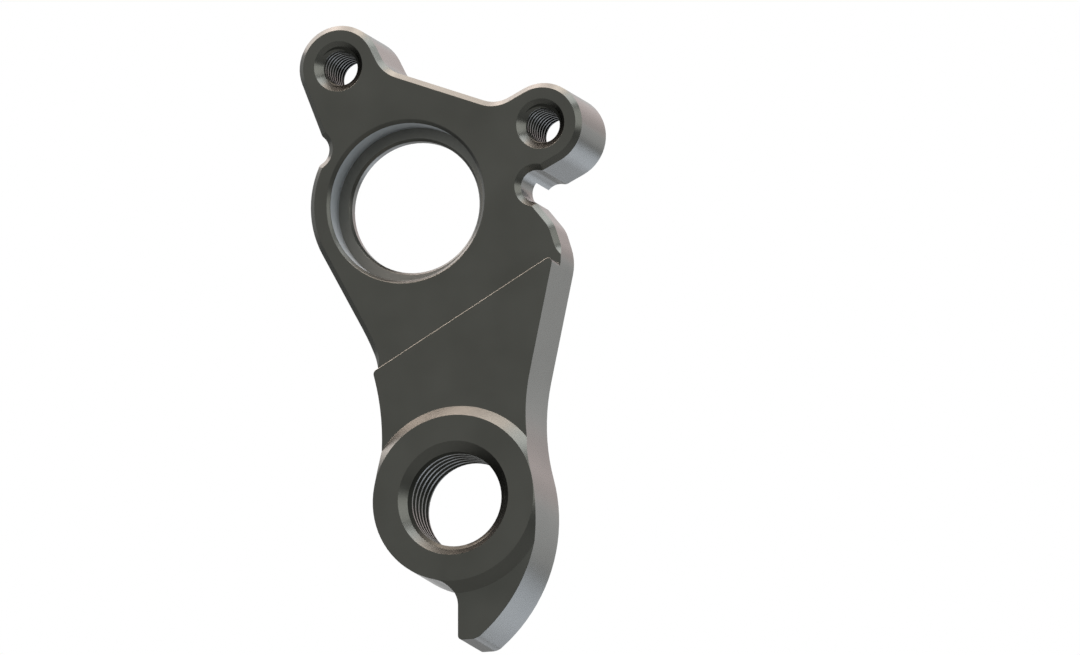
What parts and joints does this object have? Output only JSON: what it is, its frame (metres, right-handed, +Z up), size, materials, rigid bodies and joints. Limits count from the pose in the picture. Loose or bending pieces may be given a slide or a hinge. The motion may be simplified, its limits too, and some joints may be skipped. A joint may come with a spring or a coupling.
{
  "type": "bicycle derailleur hanger",
  "caption": "Aluminium derailleur hanger plate with bolt lobes, stepped axle hole, raised threaded boss on a thick tail and a stop toe.",
  "frame": {"origin": "axle centre, on the frame-side face of the plate", "axes": "+Z up, +X rearward, +Y outward from the wheel to the bicycle frame; the boss and the chamfered face look toward -Y"},
  "size_m": [0.0281, 0.0114, 0.0606],
  "materials": {
    "hanger": "satin"
  },
  "bodies": {
    "root": {"hanger": "hanger"}
  },
  "joints": []
}
